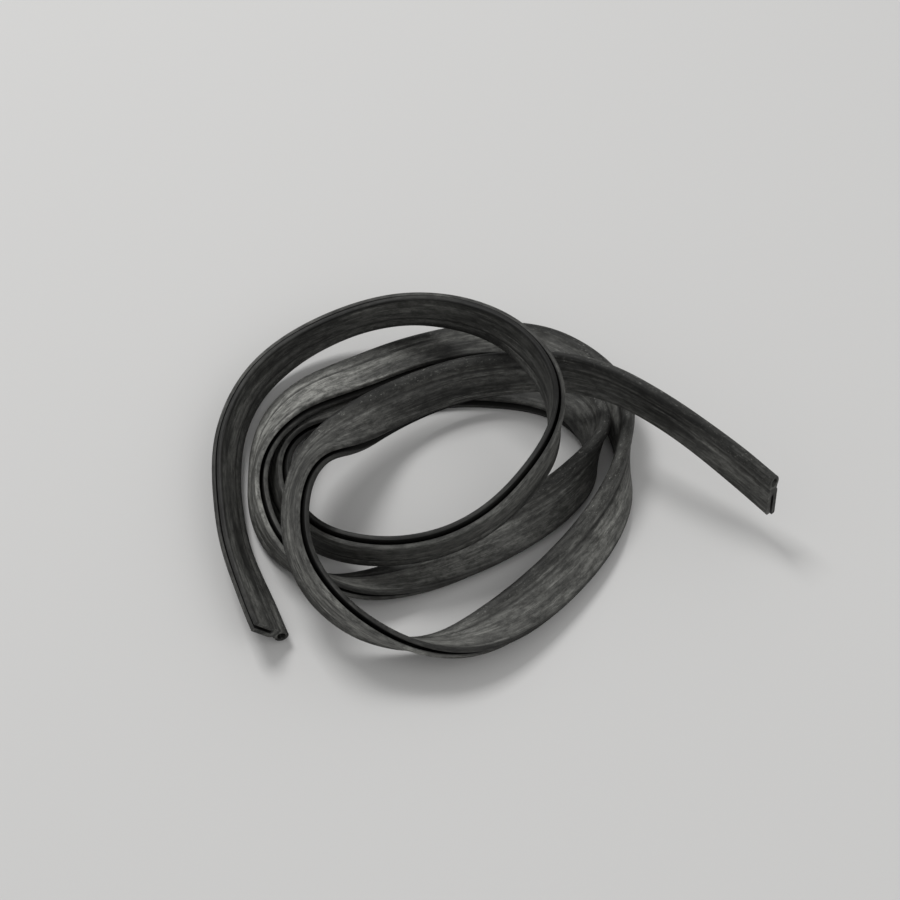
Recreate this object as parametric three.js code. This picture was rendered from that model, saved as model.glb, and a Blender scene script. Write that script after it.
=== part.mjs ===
// Rubber seal for an appliance door: one long extruded strip that lies in three loose, twisted loops.
// Millimetres, +Z up, the floor at z = 0 and the middle of the coil's footprint at the origin.

import * as THREE from "three";

// Section of the strip, across its width from the bulb's edge to the mouth of the slot
const WIDTH = 19;
const THICKNESS = 5;
const BULB_WIDTH = 5.2;
const BULB_DEPTH = 6;
const HOLLOW_WIDTH = 3;
const HOLLOW_DEPTH = 3.8;
const NECK_THICKNESS = 3.8;
const NECK_RISE = 1.4;
const SLOT_WIDTH = 1.2;
const SLOT_DEPTH = 10;
const SHORT_LEG_STEP = 1.4;
const LEG_CORNER = 0.5;

// Lean of the second cut across the strip, in degrees from square
const SECOND_CUT_LEAN = 12;

// Fineness of the mesh
const STEP = 10;
const BULB_SIDES = 6;
const HOLLOW_SIDES = 8;
const SAMPLES_PER_POINT = 24;

const RUBBER = new THREE.MeshStandardMaterial({ color: 0x2b2b2a, roughness: 0.62, metalness: 0 });

// Route of the strip's middle, each point as x, y, height and the roll of the section in degrees.
// At a roll of 0 the slot opens upward; at 90 it opens to the outside of the loop.
const ROUTE = [
  [-83.5, -72, 9.5, 40],
  [-86, -66, 9.5, 40],
  [-91, -53, 9.5, 39],
  [-98.5, -35, 10, 31],
  [-103, -13.5, 10, 24],
  [-105.5, 9, 10, 23],
  [-104, 28.5, 10, 15],
  [-98.5, 46, 10.5, 9],
  [-89.5, 59.5, 11.5, 5],
  [-76, 71, 13.5, -3],
  [-58, 79, 17, -8],
  [-39, 79.5, 23, -11],
  [-21.5, 72, 30, -8],
  [-7, 61, 37, -6],
  [5.5, 49, 41, 0],
  [16, 32.5, 44.5, 8],
  [22.5, 18.5, 43, 6],
  [23.5, 8.5, 36, 5],
  [21, -3.5, 31.5, 0],
  [12, -17, 28, 3],
  [-1.5, -29.5, 22, 10],
  [-17.5, -36.5, 17, 14],
  [-36, -43, 18.5, 14],
  [-54, -39, 15, 12],
  [-67.5, -31, 11.5, 6],
  [-78, -20, 10.5, -8],
  [-85, -5, 10, -20],
  [-86, 12, 9.5, -34],
  [-80, 27.5, 7, -55],
  [-70, 40, 4, -80],
  [-55, 46.5, 3, -88],
  [-36, 51.5, 3, -90],
  [-16.5, 55, 3, -91],
  [3, 54.5, 3, -94],
  [21, 50.5, 5, -104],
  [34.5, 41.5, 6.5, -116],
  [40.5, 28, 9.5, -142],
  [41, 16.5, 10, -170],
  [34.5, 3, 10, -200],
  [24, -9.5, 10, -214],
  [11.5, -19, 8, -230],
  [-3.5, -28, 5, -252],
  [-20, -37.5, 3.5, -270],
  [-36.5, -45, 4.5, -282],
  [-51, -49.5, 6.5, -297],
  [-63, -49.5, 9, -322],
  [-74.5, -42, 10, -345],
  [-84.5, -31.5, 10.5, -362],
  [-90, -19, 10.5, -371],
  [-92.5, -6.5, 10.5, -374],
  [-92, 6, 12, -380],
  [-89, 22, 12, -408],
  [-81, 38, 10.5, -433],
  [-69.5, 48, 9.5, -445],
  [-55.5, 54.5, 9.5, -450],
  [-41, 62.5, 9.5, -450],
  [-26.5, 68.5, 9.5, -450],
  [-10, 73, 9.5, -452],
  [6.5, 76, 8, -454],
  [21, 75, 5.5, -461],
  [33, 66, 6, -469],
  [44, 51, 8, -484],
  [51, 33.5, 10, -510],
  [51.5, 14.5, 10, -540],
  [49, -3, 10, -562],
  [42.5, -19, 10, -577],
  [32.5, -35.5, 9.5, -590],
  [18, -53, 9, -602],
  [2.5, -67.5, 9, -620],
  [-13, -76.5, 9, -650],
  [-28, -79.5, 10, -680],
  [-42.5, -77.5, 13.5, -698],
  [-55, -73.5, 19.5, -712],
  [-65.5, -66, 26.5, -724],
  [-72, -56, 32, -733],
  [-75, -41.5, 33.5, -742],
  [-75, -25.5, 33, -750],
  [-72, -11, 30.5, -764],
  [-67, 1, 26.5, -788],
  [-58.5, 13.5, 21.5, -818],
  [-48.5, 25.5, 17, -845],
  [-37.5, 35, 15, -857],
  [-24.5, 42.5, 14.5, -864],
  [-10.5, 48, 15, -870],
  [6, 49, 17, -878],
  [20.5, 44, 24, -888],
  [34, 35, 32, -896],
  [47, 26, 35.5, -900],
  [58, 17.5, 36, -902],
  [70.5, 8.5, 34, -902],
  [82, 0.5, 30, -900],
  [93, -7.5, 25.5, -896],
  [100, -14, 23.5, -894],
  [104.5, -19, 23, -893],
];

// Points of an arc, from one angle to another in degrees, both ends included
function arc(centreU, centreV, radiusU, radiusV, from, to, sides) {
  const points = [];
  for (let k = 0; k <= sides; k += 1) {
    const angle = THREE.MathUtils.degToRad(from + ((to - from) * k) / sides);
    points.push(new THREE.Vector2(centreU + radiusU * Math.cos(angle), centreV + radiusV * Math.sin(angle)));
  }
  return points;
}

// Outline of the section, counterclockwise, with u across the width and v through the thickness
function sectionOutline() {
  const bulbEdge = -WIDTH / 2;
  const mouth = WIDTH / 2;
  const bulbCentre = bulbEdge + BULB_DEPTH / 2;
  const neck = bulbEdge + BULB_DEPTH;
  const body = neck + NECK_RISE;
  const half = THICKNESS / 2;
  const slot = SLOT_WIDTH / 2;
  const shortEnd = mouth - SHORT_LEG_STEP;
  const slotEnd = mouth - SLOT_DEPTH;
  const at = (u, v) => new THREE.Vector2(u, v);
  return [
    ...arc(bulbCentre, 0, BULB_DEPTH / 2, BULB_WIDTH / 2, 60, 300, BULB_SIDES),
    at(neck, -NECK_THICKNESS / 2),
    at(body, -half),
    at(shortEnd - LEG_CORNER, -half),
    at(shortEnd, LEG_CORNER - half),
    at(shortEnd, -slot),
    ...arc(slotEnd + slot, 0, slot, slot, 270, 90, 2),
    at(mouth, slot),
    at(mouth, half - LEG_CORNER),
    at(mouth - LEG_CORNER, half),
    at(body, half),
    at(neck, NECK_THICKNESS / 2),
  ];
}

// Outline of the bulb's hollow, clockwise
function hollowOutline() {
  const centre = -WIDTH / 2 + BULB_DEPTH / 2;
  return arc(centre, 0, HOLLOW_DEPTH / 2, HOLLOW_WIDTH / 2, 360, 360 / HOLLOW_SIDES, HOLLOW_SIDES - 1);
}

// Uniform cubic B-spline through the neighbourhood of the route's points, with both ends kept in place
function routeAt(t) {
  const last = ROUTE.length - 1;
  const first = Math.min(Math.floor(t), last - 1);
  const f = t - first;
  const weights = [
    (1 - f) ** 3 / 6,
    (3 * f ** 3 - 6 * f ** 2 + 4) / 6,
    (-3 * f ** 3 + 3 * f ** 2 + 3 * f + 1) / 6,
    f ** 3 / 6,
  ];
  const point = (k) => {
    if (k < 0) return ROUTE[0].map((value, axis) => 2 * value - ROUTE[1][axis]);
    if (k > last) return ROUTE[last].map((value, axis) => 2 * value - ROUTE[last - 1][axis]);
    return ROUTE[k];
  };
  const near = weights.map((weight, k) => point(first - 1 + k).map((value) => value * weight));
  return [0, 1, 2, 3].map((axis) => near.reduce((sum, value) => sum + value[axis], 0));
}

// Stations at equal distances along the route, each with the section's own axes
function stations() {
  const samples = [];
  const count = (ROUTE.length - 1) * SAMPLES_PER_POINT;
  for (let k = 0; k <= count; k += 1) {
    const [x, y, z, roll] = routeAt(k / SAMPLES_PER_POINT);
    const place = new THREE.Vector3(x, y, z);
    const along = k === 0 ? 0 : samples[k - 1].along + place.distanceTo(samples[k - 1].place);
    samples.push({ place, roll: THREE.MathUtils.degToRad(roll), along });
  }
  const length = samples[count].along;
  const steps = Math.round(length / STEP);
  const found = [];
  let k = 0;
  for (let n = 0; n <= steps; n += 1) {
    const target = (length * n) / steps;
    while (k < count - 1 && samples[k + 1].along < target) k += 1;
    const [a, b] = [samples[k], samples[k + 1]];
    const share = (target - a.along) / (b.along - a.along);
    const before = samples[Math.max(0, k - 2)].place;
    const after = samples[Math.min(count, k + 3)].place;
    const tangent = after.clone().sub(before).normalize();
    const outward = new THREE.Vector3(-tangent.y, tangent.x, 0).normalize();
    const up = new THREE.Vector3().crossVectors(tangent, outward);
    const roll = a.roll + share * (b.roll - a.roll);
    const across = up.clone().multiplyScalar(Math.cos(roll)).addScaledVector(outward, Math.sin(roll));
    const through = up.clone().multiplyScalar(Math.sin(roll)).addScaledVector(outward, -Math.cos(roll));
    found.push({ place: a.place.clone().lerp(b.place, share), across, through, tangent });
  }
  const last = found[steps];
  last.across.addScaledVector(last.tangent, Math.tan(THREE.MathUtils.degToRad(SECOND_CUT_LEAN)));
  return found;
}

// Closed mesh of the section swept along the stations, with the hollow open at both cut ends
function sweep(outline, hollow, path) {
  const ring = [...outline, ...hollow];
  const positions = [];
  for (const { place, across, through } of path) {
    for (const { x: u, y: v } of ring) {
      const vertex = place.clone().addScaledVector(across, u).addScaledVector(through, v);
      positions.push(vertex.x, vertex.y, vertex.z);
    }
  }
  const faces = [];
  const wall = (first, sides) => {
    for (let n = 0; n + 1 < path.length; n += 1) {
      for (let k = 0; k < sides; k += 1) {
        const a = n * ring.length + first + k;
        const b = n * ring.length + first + ((k + 1) % sides);
        faces.push(a, b, b + ring.length, a, b + ring.length, a + ring.length);
      }
    }
  };
  wall(0, outline.length);
  wall(outline.length, hollow.length);
  const end = (path.length - 1) * ring.length;
  for (const [a, b, c] of THREE.ShapeUtils.triangulateShape(outline, [hollow])) {
    const area = THREE.ShapeUtils.area([ring[a], ring[b], ring[c]]);
    const [p, q, r] = area > 0 ? [a, b, c] : [a, c, b];
    faces.push(p, r, q, end + p, end + q, end + r);
  }
  const geometry = new THREE.BufferGeometry();
  geometry.setAttribute("position", new THREE.Float32BufferAttribute(positions, 3));
  geometry.setIndex(faces);
  return geometry;
}

// The strip, lowered to the floor with its footprint's middle over the origin
function seal() {
  const geometry = sweep(sectionOutline(), hollowOutline(), stations());
  geometry.computeBoundingBox();
  const { min, max } = geometry.boundingBox;
  geometry.translate(-(min.x + max.x) / 2, -(min.y + max.y) / 2, -min.z);
  geometry.computeVertexNormals();
  const mesh = new THREE.Mesh(geometry, RUBBER);
  mesh.name = "seal_strip";
  return mesh;
}

const part = new THREE.Group();
part.add(seal());

export default part;
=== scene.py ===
"""Rubber seal for an appliance door: one long extruded strip that lies in three loose, twisted loops.

The section and the route are written in millimetres. The scene is built in metres, in the frame of the
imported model.
"""

import math

import bmesh
import bpy
import numpy as np
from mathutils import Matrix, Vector, noise

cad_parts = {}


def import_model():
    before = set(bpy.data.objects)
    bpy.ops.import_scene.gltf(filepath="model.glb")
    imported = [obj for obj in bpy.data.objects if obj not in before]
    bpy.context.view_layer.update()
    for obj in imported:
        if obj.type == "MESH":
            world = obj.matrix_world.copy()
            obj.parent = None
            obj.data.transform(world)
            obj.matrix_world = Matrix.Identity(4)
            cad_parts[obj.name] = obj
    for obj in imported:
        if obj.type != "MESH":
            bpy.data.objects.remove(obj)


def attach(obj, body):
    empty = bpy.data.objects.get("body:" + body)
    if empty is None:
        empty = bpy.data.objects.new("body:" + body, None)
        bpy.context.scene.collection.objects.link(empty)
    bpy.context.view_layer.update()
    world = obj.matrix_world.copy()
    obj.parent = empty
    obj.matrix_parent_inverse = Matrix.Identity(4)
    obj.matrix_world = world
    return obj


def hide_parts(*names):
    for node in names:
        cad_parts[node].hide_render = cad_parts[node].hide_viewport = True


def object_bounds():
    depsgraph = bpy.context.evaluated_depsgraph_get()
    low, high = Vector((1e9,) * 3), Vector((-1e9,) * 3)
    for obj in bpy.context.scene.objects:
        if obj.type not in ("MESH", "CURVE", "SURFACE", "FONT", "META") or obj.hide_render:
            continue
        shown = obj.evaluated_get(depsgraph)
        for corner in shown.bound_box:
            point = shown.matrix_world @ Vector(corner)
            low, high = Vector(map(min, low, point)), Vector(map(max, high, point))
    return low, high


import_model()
cad_low, cad_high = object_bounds()

MM = 0.001

# Section of the strip, in millimetres, across its width from the bulb's edge to the slot's mouth
WIDTH = 19.0
THICKNESS = 5.0
BULB_WIDTH = 5.2
BULB_DEPTH = 6.0
HOLLOW_WIDTH = 3.0
HOLLOW_DEPTH = 3.8
NECK_THICKNESS = 3.8
NECK_RISE = 1.4
SLOT_WIDTH = 1.2
SLOT_DEPTH = 10.0
SHORT_LEG_STEP = 1.4
LEG_CORNER = 0.6
LIP_CORNER = 0.2

# How the neck is eased into the bulb and the body, in millimetres
EASE_LENGTH = 0.35
EASE_RISE = 0.12
NECK_FLAT = 0.4
BODY_EASE = 0.3

# Angles, in degrees, between which the bulb's round is drawn
BULB_START = 56
BULB_END = 304

# Number of sides in each part of the section's outline
BULB_SIDES = 20
HOLLOW_SIDES = 16
FACE_SIDES = 6
CORNER_SIDES = 3
LIP_SIDES = 2
SHORT_LEG_SIDES = 3
LONG_LEG_SIDES = 4
SLOT_END_SIDES = 4

# Lean of the second cut across the strip, in degrees from square, and the length that it shears
SECOND_CUT_LEAN = 12.0
CUT_REACH = 14.0

# The mesh along the strip: its step in millimetres, the samples of the route that each of its points gives,
# and the angle in degrees above which an edge is drawn sharp
STEP = 2.2
SAMPLES_PER_POINT = 40
SHARP_ANGLE = 50.0

# Small unevenness of the drawn strip: how far its face bows in millimetres, how much the bulb swells as a
# share of its width, how fast each wanders per millimetre of strip, and where in the noise each starts
FACE_BOW = 0.25
BOW_PACE = 0.021
BOW_SEED = (0.0, 3.7)
BULB_SWELL = 0.07
SWELL_PACE = 0.05
SWELL_SEED = (5.1, 0.0)

# The swelling ends this far past the bulb, and fades over this width, in millimetres
SWELL_REACH = 0.5
SWELL_FADE = 2.0

# Route of the strip's middle in millimetres, each point as x, y, height and the section's roll in degrees.
# At a roll of 0 the slot opens upward; at 90 it opens to the outside of the loop.
ROUTE = [
    (-83.5, -72, 9.5, 40),
    (-86, -66, 9.5, 40),
    (-91, -53, 9.5, 39),
    (-98.5, -35, 10, 31),
    (-103, -13.5, 10, 24),
    (-105.5, 9, 10, 23),
    (-104, 28.5, 10, 15),
    (-98.5, 46, 10.5, 9),
    (-89.5, 59.5, 11.5, 5),
    (-76, 71, 13.5, -3),
    (-58, 79, 17, -8),
    (-39, 79.5, 23, -11),
    (-21.5, 72, 30, -8),
    (-7, 61, 37, -6),
    (5.5, 49, 41, 0),
    (16, 32.5, 44.5, 8),
    (22.5, 18.5, 43, 6),
    (23.5, 8.5, 36, 5),
    (21, -3.5, 31.5, 0),
    (12, -17, 28, 3),
    (-1.5, -29.5, 22, 10),
    (-17.5, -36.5, 17, 14),
    (-36, -43, 18.5, 14),
    (-54, -39, 15, 12),
    (-67.5, -31, 11.5, 6),
    (-78, -20, 10.5, -8),
    (-85, -5, 10, -20),
    (-86, 12, 9.5, -34),
    (-80, 27.5, 7, -55),
    (-70, 40, 4, -80),
    (-55, 46.5, 3, -88),
    (-36, 51.5, 3, -90),
    (-16.5, 55, 3, -91),
    (3, 54.5, 3, -94),
    (21, 50.5, 5, -104),
    (34.5, 41.5, 6.5, -116),
    (40.5, 28, 9.5, -142),
    (41, 16.5, 10, -170),
    (34.5, 3, 10, -200),
    (24, -9.5, 10, -214),
    (11.5, -19, 8, -230),
    (-3.5, -28, 5, -252),
    (-20, -37.5, 3.5, -270),
    (-36.5, -45, 4.5, -282),
    (-51, -49.5, 6.5, -297),
    (-63, -49.5, 9, -322),
    (-74.5, -42, 10, -345),
    (-84.5, -31.5, 10.5, -362),
    (-90, -19, 10.5, -371),
    (-92.5, -6.5, 10.5, -374),
    (-92, 6, 12, -380),
    (-89, 22, 12, -408),
    (-81, 38, 10.5, -433),
    (-69.5, 48, 9.5, -445),
    (-55.5, 54.5, 9.5, -450),
    (-41, 62.5, 9.5, -450),
    (-26.5, 68.5, 9.5, -450),
    (-10, 73, 9.5, -452),
    (6.5, 76, 8, -454),
    (21, 75, 5.5, -461),
    (33, 66, 6, -469),
    (44, 51, 8, -484),
    (51, 33.5, 10, -510),
    (51.5, 14.5, 10, -540),
    (49, -3, 10, -562),
    (42.5, -19, 10, -577),
    (32.5, -35.5, 9.5, -590),
    (18, -53, 9, -602),
    (2.5, -67.5, 9, -620),
    (-13, -76.5, 9, -650),
    (-28, -79.5, 10, -680),
    (-42.5, -77.5, 13.5, -698),
    (-55, -73.5, 19.5, -712),
    (-65.5, -66, 26.5, -724),
    (-72, -56, 32, -733),
    (-75, -41.5, 33.5, -742),
    (-75, -25.5, 33, -750),
    (-72, -11, 30.5, -764),
    (-67, 1, 26.5, -788),
    (-58.5, 13.5, 21.5, -818),
    (-48.5, 25.5, 17, -845),
    (-37.5, 35, 15, -857),
    (-24.5, 42.5, 14.5, -864),
    (-10.5, 48, 15, -870),
    (6, 49, 17, -878),
    (20.5, 44, 24, -888),
    (34, 35, 32, -896),
    (47, 26, 35.5, -900),
    (58, 17.5, 36, -902),
    (70.5, 8.5, 34, -902),
    (82, 0.5, 30, -900),
    (93, -7.5, 25.5, -896),
    (100, -14, 23.5, -894),
    (104.5, -19, 23, -893),
]

# Colours and gloss of the rubber and of the talc on it
RUBBER_DARK = (0.004, 0.004, 0.0037, 1.0)
RUBBER_WORN = (0.02, 0.02, 0.0185, 1.0)
TALC = (0.3, 0.3, 0.28, 1.0)
SPECULAR = 0.22
TALC_ROUGHNESS = 0.3

# Stretches with more talc, partly real dust and partly painted sheen where the faces catch the light, as
# start, end and strength, and the length that each fades over, in metres from the first end
DUST_AND_SHEEN_STRETCHES = [(0.66, 0.74, 0.2), (0.77, 0.9, 0.62), (1.04, 1.11, 0.22), (1.17, 1.24, 0.45)]
DUST_AND_SHEEN_FADE = 0.03

# Noises in the straightened strip: frequencies per metre along, across and through it, detail, roughness
# and offset. The smears run at a small angle to the strip, in radians.
BROAD = ((16, 130, 130), 3.0, 0.55, (0.0, 0.0, 0.0))
PATCHES = ((34, 260, 200), 5.0, 0.6, (3.1, 0.7, 0.2))
HAIR = ((45, 2200, 2200), 5.0, 0.7, (0.0, 0.0, 0.0))
CLOUDS = ((230, 560, 560), 8.0, 0.78, (0.9, 0.3, 1.1))
GRAIN = ((2600, 2600, 2600), 4.0, 0.65, (0.0, 0.0, 0.0))
SPECKS = ((620, 1100, 1100), 5.0, 0.8, (1.7, 0.0, 0.4))
SMEARS = ((45, 520, 420), 6.0, 0.7, (0.4, 2.2, 0.0))
SMEAR_ANGLE = 0.05

# What the noises give: two limits of the noise, and the value at each
FILM_IN_BROAD = (0.38, 0.64, 0.12, 0.46)
STREAKS_IN_HAIR = (0.44, 0.66, 0.0, 1.0)
STREAKS_IN_PATCHES = (0.42, 0.6, 0.12, 1.0)
# The patches also break up the painted sheen of the listed stretches
DUST_AND_SHEEN_IN_PATCHES = (0.3, 0.56, 0.35, 1.0)
TALC_IN_SMEARS = (0.36, 0.62, 0.6, 1.25)
TALC_IN_CLOUDS = (0.36, 0.62, 0.45, 1.45)
SPOTS_IN_SPECKS = (0.56, 0.7, 0.0, 1.0)
SPOTS_IN_BROAD = (0.38, 0.56, 0.1, 0.75)
WEAR_IN_BROAD = (0.3, 0.7, 0.0, 0.7)
ROUGHNESS_IN_PATCHES = (0.3, 0.7, 0.5, 0.66)

# Strength of each kind of talc; the dust's share also carries the painted sheen of the listed stretches
FILM_SHARE = 0.5
STREAK_SHARE = 0.22
DUST_AND_SHEEN_SHARE = 0.8

# Talc and spots over the section: two places in millimetres, and the strength at each. Less talc at the neck,
# over the bulb, at the mouth's lips and in the slot is painted shade of the crease, the round bulb and the
# recesses; the spots on the bulb are real specks. The neck's is a distance from its darkest line, and the
# slot's a distance from the middle of the thickness.
NECK_PLACE = -3.3
PAINTED_SHADE_AT_NECK = (0.2, 1.1, 0.4, 1.0)
PAINTED_SHADE_ON_BULB = (-6.4, -3.8, 0.4, 1.0)
PAINTED_SHADE_AT_MOUTH = (7.8, 8.8, 1.0, 0.3)
PAINTED_SLOT_SHADE_BESIDE = (0.6, 0.9, 0.0, 1.0)
PAINTED_SLOT_SHADE_BEFORE = (-1.5, -1.0, 1.0, 0.0)
SPOTS_ON_BULB = (-6.6, -4.6, 1.0, 0.0)

# Bumps: their strength, their height in metres, and the share of each kind
BUMP_STRENGTH = 0.35
BUMP_HEIGHT = 0.00025
HAIR_BUMP = 0.3
GRAIN_BUMP = 0.4
SPOT_BUMP = 0.3

# The floor's half side, its distance below the strip, and its look
FLOOR_REACH = 6.0
FLOOR_GAP = 0.0002
FLOOR_COLOUR = (0.6, 0.597, 0.59, 1.0)
FLOOR_ROUGHNESS = 0.9
FLOOR_SPECULAR = 0.1

# Light: each lamp's place, side and power, and the strength of the white world
KEY_LAMP = ((-0.7, 0.9, 1.7), 0.7, 21.0)
FILL_LAMP = ((0.9, -0.9, 1.3), 1.4, 6.0)
WORLD_COLOUR = (1.0, 1.0, 1.0, 1.0)
WORLD_STRENGTH = 0.5

# The photograph's camera: the point in the route's frame that it looks at, in millimetres, its elevation in
# degrees, its distance in millimetres, its field in degrees, its sensor in millimetres, and the nearest
# distance that it draws, in metres
LOOK_AT = (-17.5, 23.0, 0.0)
CAMERA_ELEVATION = 50.0
CAMERA_DISTANCE = 812.0
CAMERA_FIELD = 25.0
CAMERA_SENSOR = 36.0
CAMERA_CLIP = 0.01


def arc(centre_u, centre_v, radius_u, radius_v, start, end, sides):
    """Points of an elliptic arc, both ends included, with its angles in degrees."""
    angles = np.radians(np.linspace(start, end, sides + 1))
    return [(centre_u + radius_u * math.cos(a), centre_v + radius_v * math.sin(a)) for a in angles]


def between(start, end, parts):
    """The points that split a straight side into equal parts, without its ends."""
    return [
        (start[0] + (end[0] - start[0]) * k / parts, start[1] + (end[1] - start[1]) * k / parts)
        for k in range(1, parts)
    ]


def section_outline():
    """Outline of the section, counterclockwise, in millimetres."""
    bulb_edge, mouth = -WIDTH / 2, WIDTH / 2
    bulb_centre = bulb_edge + BULB_DEPTH / 2
    neck = bulb_edge + BULB_DEPTH
    body = neck + NECK_RISE
    short_end = mouth - SHORT_LEG_STEP
    half, half_neck, half_slot = THICKNESS / 2, NECK_THICKNESS / 2, SLOT_WIDTH / 2
    slot_end = mouth - SLOT_DEPTH + half_slot
    low_neck = [
        (neck - EASE_LENGTH, -half_neck - EASE_RISE),
        (neck, -half_neck),
        (neck + NECK_FLAT, -half_neck),
        (body - EASE_LENGTH, -half + EASE_RISE),
        (body + BODY_EASE, -half),
    ]
    high_neck = [(u, -v) for u, v in reversed(low_neck)]
    low_corner = (short_end - LEG_CORNER, LEG_CORNER - half, LEG_CORNER, LEG_CORNER)
    low_lip = (short_end - LIP_CORNER, -half_slot - LIP_CORNER, LIP_CORNER, LIP_CORNER)
    high_lip = (mouth - LIP_CORNER, half_slot + LIP_CORNER, LIP_CORNER, LIP_CORNER)
    high_corner = (mouth - LEG_CORNER, half - LEG_CORNER, LEG_CORNER, LEG_CORNER)
    return (
        arc(bulb_centre, 0, BULB_DEPTH / 2, BULB_WIDTH / 2, BULB_START, BULB_END, BULB_SIDES)
        + low_neck
        + between(low_neck[-1], (short_end - LEG_CORNER, -half), FACE_SIDES)
        + arc(*low_corner, 270, 360, CORNER_SIDES)
        + arc(*low_lip, 0, 90, LIP_SIDES)
        + between((short_end - LIP_CORNER, -half_slot), (slot_end, -half_slot), SHORT_LEG_SIDES)
        + arc(slot_end, 0, half_slot, half_slot, 270, 90, SLOT_END_SIDES)
        + between((slot_end, half_slot), (mouth - LIP_CORNER, half_slot), LONG_LEG_SIDES)
        + arc(*high_lip, 270, 360, LIP_SIDES)
        + arc(*high_corner, 0, 90, CORNER_SIDES)
        + between((mouth - LEG_CORNER, half), high_neck[0], FACE_SIDES)
        + high_neck
    )


def hollow_outline():
    """Outline of the bulb's hollow, clockwise, in millimetres."""
    centre = -WIDTH / 2 + BULB_DEPTH / 2
    last = 360 / HOLLOW_SIDES
    return arc(centre, 0, HOLLOW_DEPTH / 2, HOLLOW_WIDTH / 2, 360, last, HOLLOW_SIDES - 1)


def route_at(t):
    """Uniform cubic B-spline near the route's points, with both ends kept in place."""
    points = np.array(ROUTE, dtype=float)
    padded = np.vstack([2 * points[0] - points[1], points, 2 * points[-1] - points[-2]])
    first = np.minimum(np.floor(t).astype(int), len(points) - 2)
    f = (t - first)[:, None]
    weights = [(1 - f) ** 3, 3 * f**3 - 6 * f**2 + 4, -3 * f**3 + 3 * f**2 + 3 * f + 1, f**3]
    return sum(weight * padded[first + k] for k, weight in enumerate(weights)) / 6


def stations():
    """Evenly spaced places on the route, the section's two axes there, and the distances from the start."""
    count = (len(ROUTE) - 1) * SAMPLES_PER_POINT
    samples = route_at(np.linspace(0, len(ROUTE) - 1, count + 1))
    along = np.concatenate([[0], np.cumsum(np.linalg.norm(np.diff(samples[:, :3], axis=0), axis=1))])
    targets = np.linspace(0, along[-1], round(along[-1] / STEP) + 1)
    found = np.column_stack([np.interp(targets, along, samples[:, k]) for k in range(4)])
    place, roll = found[:, :3], np.radians(found[:, 3])
    tangent = np.gradient(place, targets, axis=0)
    tangent /= np.linalg.norm(tangent, axis=1)[:, None]
    outward = np.column_stack([-tangent[:, 1], tangent[:, 0], np.zeros(len(place))])
    outward /= np.linalg.norm(outward, axis=1)[:, None]
    up = np.cross(tangent, outward)
    cos, sin = np.cos(roll)[:, None], np.sin(roll)[:, None]
    across = up * cos + outward * sin
    near_cut = np.clip(1 - (along[-1] - targets) / CUT_REACH, 0, 1)[:, None]
    across += tangent * near_cut * math.tan(math.radians(SECOND_CUT_LEAN))
    return place, across, up * sin - outward * cos, targets


def wander(along, pace, seed):
    """A slow random value, about -1 to 1, at each place along the strip."""
    return np.array([noise.noise(Vector((s * pace, *seed))) for s in along])[:, None]


def strip_mesh():
    """The swept strip in the route's frame, each vertex's place on the straightened strip, and its middle."""
    place, across, through, along = stations()
    outline, hollow = section_outline(), hollow_outline()
    ring = np.array(outline + hollow)
    rings, size = len(place), len(ring)
    u, v = ring[:, 0], ring[:, 1]
    on_bulb = np.clip((-WIDTH / 2 + BULB_DEPTH + SWELL_REACH - u) / SWELL_FADE, 0, 1)
    swell = 1 + BULB_SWELL * wander(along, SWELL_PACE, SWELL_SEED) * on_bulb
    bow = FACE_BOW * wander(along, BOW_PACE, BOW_SEED) * (1 - (2 * u / WIDTH) ** 2)
    points = (
        place[:, None, :]
        + across[:, None, :] * u[None, :, None]
        + through[:, None, :] * (v * swell + bow)[:, :, None]
    )
    straight = np.zeros((rings, size, 3))
    straight[:, :, 0] = along[:, None]
    straight[:, :, 1:] = ring[None, :, :]
    faces = []
    for first, sides in ((0, len(outline)), (len(outline), len(hollow))):
        for n in range(rings - 1):
            for k in range(sides):
                a, b = n * size + first + k, n * size + first + (k + 1) % sides
                faces.append((a, b, b + size, a + size))
    mesh = bpy.data.meshes.new("seal_strip")
    mesh.from_pydata((points * MM).reshape(-1, 3).tolist(), [], faces)
    close_ends(mesh, len(outline), size, rings)
    return mesh, straight.reshape(-1, 3) * MM, (place * MM).tolist()


def close_ends(mesh, outline_size, ring_size, rings):
    """Fills both cut ends between the outline and the hollow."""
    shell = bmesh.new()
    shell.from_mesh(mesh)
    shell.verts.ensure_lookup_table()
    for start in (0, (rings - 1) * ring_size):
        edges = []
        for first, sides in ((0, outline_size), (outline_size, ring_size - outline_size)):
            loop = [shell.verts[start + first + k] for k in range(sides)]
            edges += [shell.edges.get((a, b)) for a, b in zip(loop, loop[1:] + loop[:1])]
        bmesh.ops.triangle_fill(shell, edges=edges, use_beauty=True)
    bmesh.ops.recalc_face_normals(shell, faces=shell.faces)
    shell.to_mesh(mesh)
    shell.free()


def node(tree, kind, inputs=None, **settings):
    """Adds a shader node, with its settings, and links or sets its inputs."""
    made = tree.nodes.new(kind)
    for name, value in settings.items():
        setattr(made, name, value)
    for name, value in (inputs or {}).items():
        if isinstance(value, bpy.types.NodeSocket):
            tree.links.new(value, made.inputs[name])
        else:
            made.inputs[name].default_value = value
    return made


def maths(tree, operation, first, second=0.0, third=0.0):
    """A Math node's result."""
    return node(tree, "ShaderNodeMath", {0: first, 1: second, 2: third}, operation=operation).outputs[0]


def ramp(tree, value, low, high, start=0.0, end=1.0):
    """A smooth step of a value from one limit to the other."""
    inputs = {"Value": value, "From Min": low, "From Max": high, "To Min": start, "To Max": end}
    return node(tree, "ShaderNodeMapRange", inputs, interpolation_type="SMOOTHSTEP").outputs[0]


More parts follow.
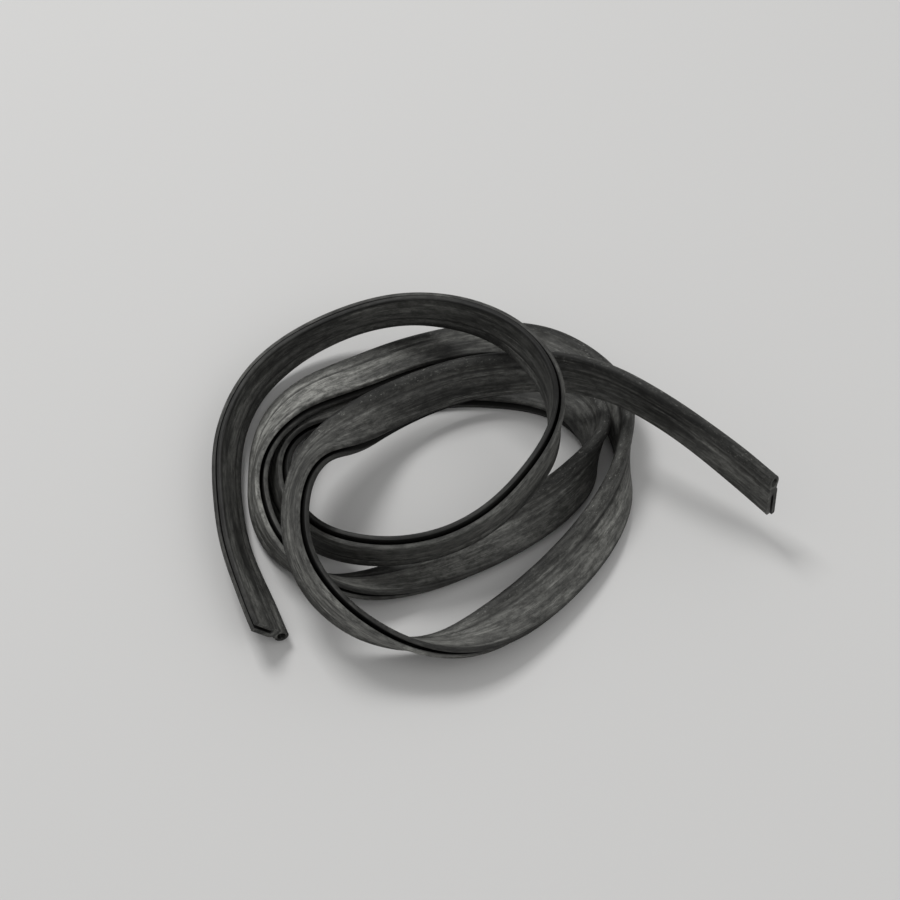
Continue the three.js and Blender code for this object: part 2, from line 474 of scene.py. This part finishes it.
def ramp_mm(tree, value, low, high, start, end):
    """A smooth step of a distance, with its limits in millimetres."""
    return ramp(tree, value, low * MM, high * MM, start, end)


def noise_at(tree, straight, scale, detail, roughness, offset):
    """Noise in the straightened strip, with a frequency per metre along, across and through it."""
    mapping = {"Vector": straight, "Location": offset, "Scale": scale}
    placed = node(tree, "ShaderNodeMapping", mapping).outputs[0]
    inputs = {"Vector": placed, "Scale": 1.0, "Detail": detail, "Roughness": roughness}
    return node(tree, "ShaderNodeTexNoise", inputs).outputs[0]


def window(tree, value, start, end, soft):
    """1 between two limits, with soft ends."""
    rise = ramp(tree, value, start - soft, start + soft)
    fall = ramp(tree, value, end - soft, end + soft, 1.0, 0.0)
    return maths(tree, "MULTIPLY", rise, fall)


def layered(tree, below, colour, share):
    """A colour laid over another by a share."""
    mixed = node(tree, "ShaderNodeMix", {"Factor": share}, data_type="RGBA")
    tree.links.new(below, mixed.inputs[6])
    mixed.inputs[7].default_value = colour
    return mixed.outputs[2]


def rubber_material():
    """Black rubber with talc dragged along it and spots on the bulb's edge; the talc is partly painted sheen
    in listed stretches, and thinner to paint shade at the neck, over the bulb, at the mouth's lips and in the
    slot.
    """
    material = bpy.data.materials.new("rubber")
    material.use_nodes = True
    tree = material.node_tree
    tree.nodes.clear()
    straight = node(tree, "ShaderNodeAttribute", attribute_name="straight").outputs["Vector"]
    axes = node(tree, "ShaderNodeSeparateXYZ", {0: straight})
    along, across, through = axes.outputs

    broad = noise_at(tree, straight, *BROAD)
    patches = noise_at(tree, straight, *PATCHES)
    hair = noise_at(tree, straight, *HAIR)
    clouds = noise_at(tree, straight, *CLOUDS)
    grain = noise_at(tree, straight, *GRAIN)
    specks = noise_at(tree, straight, *SPECKS)
    turn = {"Vector": straight, "Rotation": (0.0, 0.0, SMEAR_ANGLE)}
    smears = noise_at(tree, node(tree, "ShaderNodeMapping", turn).outputs[0], *SMEARS)

    # Painted sheen and dust: more talc in the listed stretches, partly real dust, partly sheen where the
    # faces catch the light
    dust_and_sheen_stretch = 0.0
    for start, end, strength in DUST_AND_SHEEN_STRETCHES:
        inside = window(tree, along, start, end, DUST_AND_SHEEN_FADE)
        dust_and_sheen_stretch = maths(tree, "MULTIPLY_ADD", inside, strength, dust_and_sheen_stretch)

    streaks = ramp(tree, hair, *STREAKS_IN_HAIR)
    streaks = maths(tree, "MULTIPLY", streaks, ramp(tree, patches, *STREAKS_IN_PATCHES))
    dust_and_sheen = maths(tree, "MULTIPLY", dust_and_sheen_stretch, ramp(tree, patches, *DUST_AND_SHEEN_IN_PATCHES))
    talc = maths(tree, "MULTIPLY", ramp(tree, broad, *FILM_IN_BROAD), FILM_SHARE)
    talc = maths(tree, "MULTIPLY_ADD", streaks, STREAK_SHARE, talc)
    talc = maths(tree, "MULTIPLY_ADD", dust_and_sheen, DUST_AND_SHEEN_SHARE, talc)

    # Painted shade: the limits below thin the talc at the neck, over the bulb, at the mouth's lips and in the
    # slot
    from_neck = maths(tree, "ABSOLUTE", maths(tree, "SUBTRACT", across, NECK_PLACE * MM))
    beside_slot = ramp_mm(tree, maths(tree, "ABSOLUTE", through), *PAINTED_SLOT_SHADE_BESIDE)
    before_slot = ramp_mm(tree, across, *PAINTED_SLOT_SHADE_BEFORE)
    limits = [
        ramp(tree, smears, *TALC_IN_SMEARS),
        ramp(tree, clouds, *TALC_IN_CLOUDS),
        ramp_mm(tree, from_neck, *PAINTED_SHADE_AT_NECK),
        ramp_mm(tree, across, *PAINTED_SHADE_ON_BULB),
        ramp_mm(tree, across, *PAINTED_SHADE_AT_MOUTH),
        maths(tree, "MAXIMUM", beside_slot, before_slot),
    ]
    for limit in limits:
        talc = maths(tree, "MULTIPLY", talc, limit)

    spots = ramp(tree, specks, *SPOTS_IN_SPECKS)
    spots = maths(tree, "MULTIPLY", spots, ramp_mm(tree, across, *SPOTS_ON_BULB))
    spots = maths(tree, "MULTIPLY", spots, ramp(tree, broad, *SPOTS_IN_BROAD))

    dark = node(tree, "ShaderNodeRGB").outputs[0]
    dark.default_value = RUBBER_DARK
    colour = layered(tree, dark, RUBBER_WORN, ramp(tree, broad, *WEAR_IN_BROAD))
    colour = layered(tree, colour, TALC, talc)
    colour = layered(tree, colour, TALC, spots)

    rough = ramp(tree, patches, *ROUGHNESS_IN_PATCHES)
    rough = maths(tree, "MULTIPLY_ADD", talc, TALC_ROUGHNESS, rough)
    height = maths(tree, "MULTIPLY", grain, GRAIN_BUMP)
    height = maths(tree, "MULTIPLY_ADD", hair, HAIR_BUMP, height)
    height = maths(tree, "MULTIPLY_ADD", spots, SPOT_BUMP, height)
    bumps = {"Strength": BUMP_STRENGTH, "Distance": BUMP_HEIGHT, "Height": height}
    bump = node(tree, "ShaderNodeBump", bumps).outputs[0]
    look = {"Base Color": colour, "Roughness": rough, "Normal": bump, "Specular IOR Level": SPECULAR}
    shader = node(tree, "ShaderNodeBsdfPrincipled", look)
    node(tree, "ShaderNodeOutputMaterial", {"Surface": shader.outputs[0]})
    return material


def seal():
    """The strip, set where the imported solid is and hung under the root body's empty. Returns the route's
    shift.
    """
    mesh, straight, middle = strip_mesh()
    attribute = mesh.attributes.new("straight", "FLOAT_VECTOR", "POINT")
    attribute.data.foreach_set("vector", straight.ravel())
    corners = np.empty(len(mesh.vertices) * 3)
    mesh.vertices.foreach_get("co", corners)
    corners = corners.reshape(-1, 3)
    low, high = corners.min(axis=0), corners.max(axis=0)
    cad_middle = (np.array(cad_low) + np.array(cad_high)) / 2
    shift = cad_middle - (low + high) / 2
    shift[2] = cad_low[2] - low[2]
    mesh.vertices.foreach_set("co", (corners + shift).ravel())
    mesh.shade_smooth()
    mesh.set_sharp_from_angle(angle=math.radians(SHARP_ANGLE))
    mesh.materials.append(rubber_material())
    piece = bpy.data.objects.new("rubber_seal", mesh)
    bpy.context.collection.objects.link(piece)
    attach(piece, "root")
    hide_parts("seal_strip")
    return Vector(shift)


def floor(low):
    """A plain pale floor that the strip lies on."""
    mesh = bpy.data.meshes.new("floor")
    corners = [
        (-FLOOR_REACH, -FLOOR_REACH, 0),
        (FLOOR_REACH, -FLOOR_REACH, 0),
        (FLOOR_REACH, FLOOR_REACH, 0),
        (-FLOOR_REACH, FLOOR_REACH, 0),
    ]
    mesh.from_pydata(corners, [], [(0, 1, 2, 3)])
    material = bpy.data.materials.new("floor")
    material.use_nodes = True
    shader = material.node_tree.nodes["Principled BSDF"]
    shader.inputs["Base Color"].default_value = FLOOR_COLOUR
    shader.inputs["Roughness"].default_value = FLOOR_ROUGHNESS
    shader.inputs["Specular IOR Level"].default_value = FLOOR_SPECULAR
    mesh.materials.append(material)
    piece = bpy.data.objects.new("floor", mesh)
    piece.location.z = low - FLOOR_GAP
    bpy.context.collection.objects.link(piece)


def lamp(name, place, size, power):
    """A soft square lamp that faces the strip."""
    light = bpy.data.lights.new(name, "AREA")
    light.size = size
    light.energy = power
    piece = bpy.data.objects.new(name, light)
    piece.location = place
    piece.rotation_euler = (-Vector(place)).to_track_quat("-Z", "Y").to_euler()
    bpy.context.collection.objects.link(piece)


def world():
    """Even pale light from all round."""
    made = bpy.data.worlds.new("studio")
    made.use_nodes = True
    background = made.node_tree.nodes["Background"]
    background.inputs["Color"].default_value = WORLD_COLOUR
    background.inputs["Strength"].default_value = WORLD_STRENGTH
    bpy.context.scene.world = made


def camera(shift):
    """The photograph's camera."""
    target = Vector(LOOK_AT) * MM + shift
    tilt = math.radians(CAMERA_ELEVATION)
    back = Vector((0.0, -math.cos(tilt), math.sin(tilt))) * CAMERA_DISTANCE * MM
    data = bpy.data.cameras.new("camera")
    data.sensor_width = CAMERA_SENSOR
    data.sensor_height = CAMERA_SENSOR
    data.angle = math.radians(CAMERA_FIELD)
    data.clip_start = CAMERA_CLIP
    piece = bpy.data.objects.new("camera", data)
    piece.location = target + back
    piece.rotation_euler = (-back).to_track_quat("-Z", "Y").to_euler()
    bpy.context.collection.objects.link(piece)
    bpy.context.scene.camera = piece


shift = seal()
camera(shift)
floor(cad_low[2])
world()
lamp("key", *KEY_LAMP)
lamp("fill", *FILL_LAMP)
bpy.context.scene.view_settings.view_transform = "Standard"
